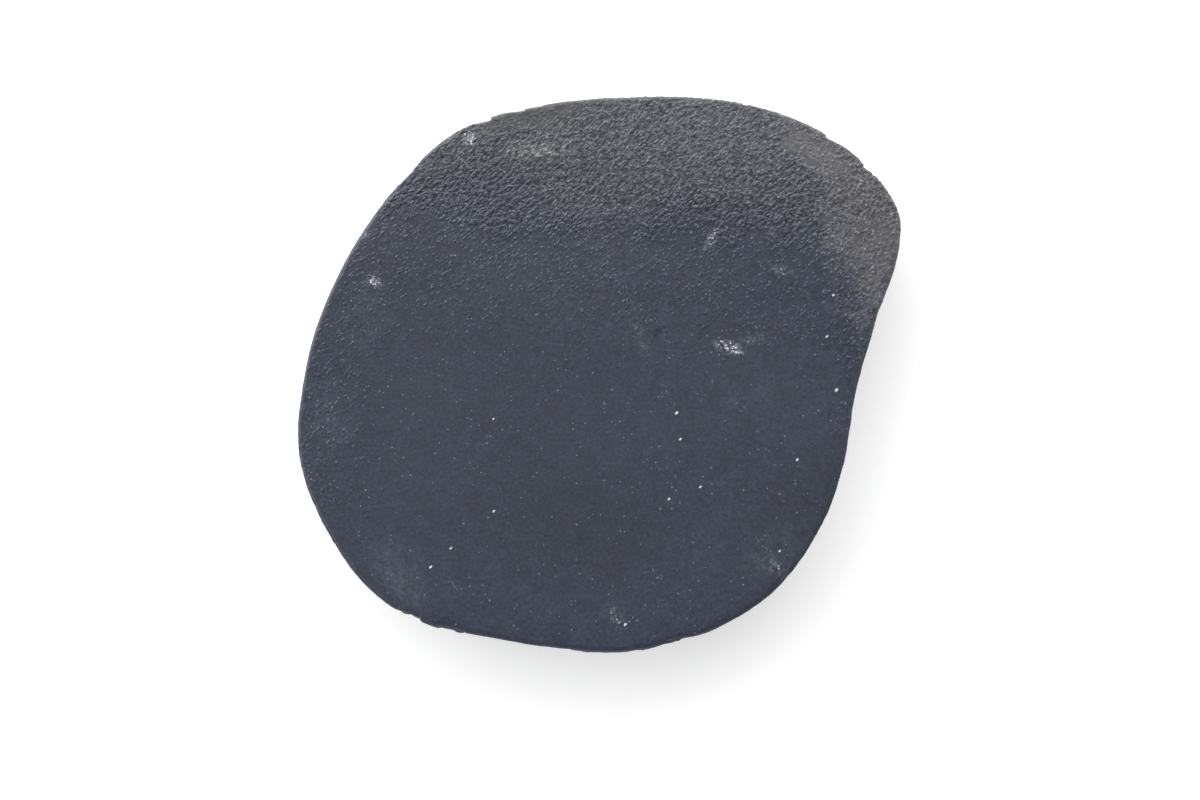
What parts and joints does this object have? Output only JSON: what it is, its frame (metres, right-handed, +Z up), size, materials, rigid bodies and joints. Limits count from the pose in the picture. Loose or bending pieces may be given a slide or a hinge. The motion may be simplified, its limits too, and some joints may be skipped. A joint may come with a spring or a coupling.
{
  "type": "limestone stepping stone",
  "caption": "Rounded, irregular slab of dark limestone with a worn, gently falling tread, a trimmed rim and a flat underside, laid as one step of a garden path.",
  "frame": {"origin": "middle of the footprint's box, on the ground that the underside rests on", "axes": "+Z up out of the tread, +Y towards the side where the tread is worn down most, +X to the right of one who faces +Y"},
  "size_m": [0.446, 0.4572, 0.0386],
  "materials": {
    "limestone": "dark blue-grey, fine-grained limestone, worn to a satin on the tread and dull on the trimmed side, with a raised grain and a few pale scuffs"
  },
  "bodies": {
    "root": {"stepping_stone": "limestone"}
  },
  "joints": []
}
